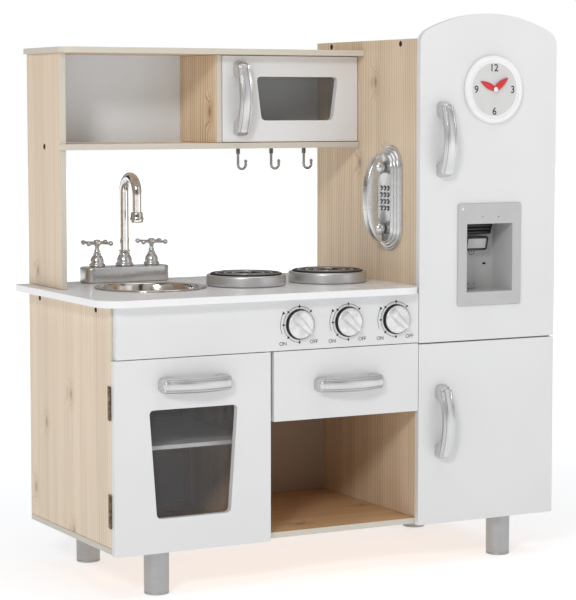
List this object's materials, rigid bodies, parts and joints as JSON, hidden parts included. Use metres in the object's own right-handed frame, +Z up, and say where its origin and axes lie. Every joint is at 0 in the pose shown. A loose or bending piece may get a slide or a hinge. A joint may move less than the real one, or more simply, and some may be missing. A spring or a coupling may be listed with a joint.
{
  "type": "toy kitchen",
  "caption": "Wooden play kitchen with worktop, sink, hob, oven, drawer, niche, open shelf, microwave, hooks, telephone and a tall arched fridge with clock and water dispenser.",
  "frame": {"origin": "middle of the footprint on the floor", "axes": "+Z up, +X to the right of someone facing the kitchen, fronts facing -Y"},
  "size_m": [0.877, 0.3962, 0.955],
  "materials": {
    "side_pine": "printed pine foil, satin",
    "inner_pine": "printed pine foil, satin",
    "white_board": "white lacquered board, satin",
    "grey_board": "pale grey thin board, matt",
    "silver_plastic": "silver painted moulding, satin gloss",
    "plated_spout": "bright plated",
    "steel_bowl": "polished thin steel",
    "hook_metal": "nickel plated wire",
    "black_plastic": "moulded, satin",
    "grey_plastic": "moulded, fine matt",
    "pearl_plastic": "pearl silver moulding",
    "clock_plastic": "white moulding with a pale grey face",
    "red_plastic": "red moulding",
    "clear_pane": "clear smoky sheet",
    "bronze_hinge": "bronzed steel"
  },
  "bodies": {
    "carcass": {"left_side_panel": "side_pine", "fridge_left_panel": "side_pine", "fridge_right_panel": "side_pine", "shelf_post": "side_pine", "shelf_top_board": "side_pine", "shelf_bottom_board": "side_pine", "shelf_divider": "side_pine", "bottom_board": "inner_pine", "oven_divider_panel": "inner_pine", "lower_back_panel": "inner_pine", "niche_ceiling_board": "inner_pine", "fridge_top_board": "inner_pine", "fridge_shelf": "inner_pine", "control_panel": "white_board", "countertop": "white_board", "oven_shelf": "white_board", "shelf_back_panel": "grey_board", "fridge_back_panel": "grey_board", "leg_front_left": "silver_plastic", "leg_front_right": "silver_plastic", "leg_back_left": "silver_plastic", "leg_back_right": "silver_plastic", "faucet_base": "silver_plastic", "burner_left": "silver_plastic", "burner_right": "silver_plastic", "phone_base": "silver_plastic", "hook_1": "hook_metal", "hook_2": "hook_metal", "hook_3": "hook_metal", "coil_left": "black_plastic", "coil_right": "black_plastic", "oven_hinge_upper": "bronze_hinge", "oven_hinge_lower": "bronze_hinge"},
    "oven_door_leaf": {"oven_door": "white_board", "oven_window": "clear_pane", "oven_handle": "silver_plastic"},
    "microwave_door_leaf": {"microwave_door": "white_board", "microwave_window": "clear_pane", "microwave_handle": "silver_plastic"},
    "fridge_upper_leaf": {"fridge_upper_door": "white_board", "fridge_upper_handle": "silver_plastic", "clock_body": "clock_plastic", "dispenser_housing": "grey_plastic", "dispenser_chute": "black_plastic"},
    "fridge_lower_leaf": {"fridge_lower_door": "white_board", "fridge_lower_handle": "silver_plastic"},
    "drawer": {"drawer_front": "white_board", "drawer_box": "inner_pine", "drawer_handle": "silver_plastic"},
    "left_knob": {"knob_left": "pearl_plastic"},
    "middle_knob": {"knob_middle": "pearl_plastic"},
    "right_knob": {"knob_right": "pearl_plastic"},
    "sink_insert": {"sink_bowl": "steel_bowl"},
    "spout": {"faucet_spout": "plated_spout"},
    "left_tap": {"tap_left": "silver_plastic"},
    "right_tap": {"tap_right": "silver_plastic"},
    "clock_hour_hand": {"hour_hand": "red_plastic"},
    "clock_minute_hand": {"minute_hand": "red_plastic"},
    "water_lever": {"dispenser_lever": "black_plastic"},
    "handset": {"phone_handset": "silver_plastic"}
  },
  "joints": [
    {"name": "oven_door_swing", "type": "hinge", "parent": "carcass", "child": "oven_door_leaf", "pos_m": [-0.414, -0.15385, 0.234], "axis": [0, 0, -1], "range_deg": [0, 110]},
    {"name": "microwave_door_swing", "type": "hinge", "parent": "carcass", "child": "microwave_door_leaf", "pos_m": [0.1585, 0.04515, 0.81], "axis": [0, 0, 1], "range_deg": [0, 75]},
    {"name": "fridge_upper_swing", "type": "hinge", "parent": "carcass", "child": "fridge_upper_leaf", "pos_m": [0.441, -0.15385, 0.664], "axis": [0, 0, 1], "range_deg": [0, 110]},
    {"name": "fridge_lower_swing", "type": "hinge", "parent": "carcass", "child": "fridge_lower_leaf", "pos_m": [0.441, -0.15385, 0.232], "axis": [0, 0, 1], "range_deg": [0, 110]},
    {"name": "drawer_slide", "type": "slide", "parent": "carcass", "child": "drawer", "axis": [0, -1, 0], "range_m": [0, 0.2]},
    {"name": "knob_left_turn", "type": "hinge", "parent": "carcass", "child": "left_knob", "pos_m": [-0.075, -0.16585, 0.435], "axis": [0, -1, 0], "range_deg": [0, 270]},
    {"name": "knob_middle_turn", "type": "hinge", "parent": "carcass", "child": "middle_knob", "pos_m": [0.0185, -0.16585, 0.435], "axis": [0, -1, 0], "range_deg": [0, 270]},
    {"name": "knob_right_turn", "type": "hinge", "parent": "carcass", "child": "right_knob", "pos_m": [0.112, -0.16585, 0.435], "axis": [0, -1, 0], "range_deg": [0, 270]},
    {"name": "sink_lift", "type": "slide", "parent": "carcass", "child": "sink_insert", "axis": [0, 0, 1], "range_m": [0, 0.05]},
    {"name": "spout_swivel", "type": "hinge", "parent": "carcass", "child": "spout", "pos_m": [-0.2465, 0.16215, 0.544], "axis": [0, 0, 1], "range_deg": [-60, 60]},
    {"name": "tap_left_turn", "type": "hinge", "parent": "carcass", "child": "left_tap", "pos_m": [-0.2985, 0.16215, 0.549], "axis": [0, 0, 1], "continuous": true},
    {"name": "tap_right_turn", "type": "hinge", "parent": "carcass", "child": "right_tap", "pos_m": [-0.1945, 0.16215, 0.549], "axis": [0, 0, 1], "continuous": true},
    {"name": "hour_hand_turn", "type": "hinge", "parent": "fridge_upper_leaf", "child": "clock_hour_hand", "pos_m": [0.3047, -0.17385, 0.825], "axis": [0, -1, 0], "continuous": true},
    {"name": "minute_hand_turn", "type": "hinge", "parent": "fridge_upper_leaf", "child": "clock_minute_hand", "pos_m": [0.3047, -0.17585, 0.825], "axis": [0, -1, 0], "continuous": true},
    {"name": "water_lever_press", "type": "hinge", "parent": "fridge_upper_leaf", "child": "water_lever", "pos_m": [0.2997, -0.12378, 0.569], "axis": [1, 0, 0], "range_deg": [0, 20], "stiffness_Nm_per_rad": 0.02, "springref_deg": -5.73},
    {"name": "handset_lift", "type": "slide", "parent": "carcass", "child": "handset", "axis": [-1, 0, 0], "range_m": [0, 0.12]}
  ]
}
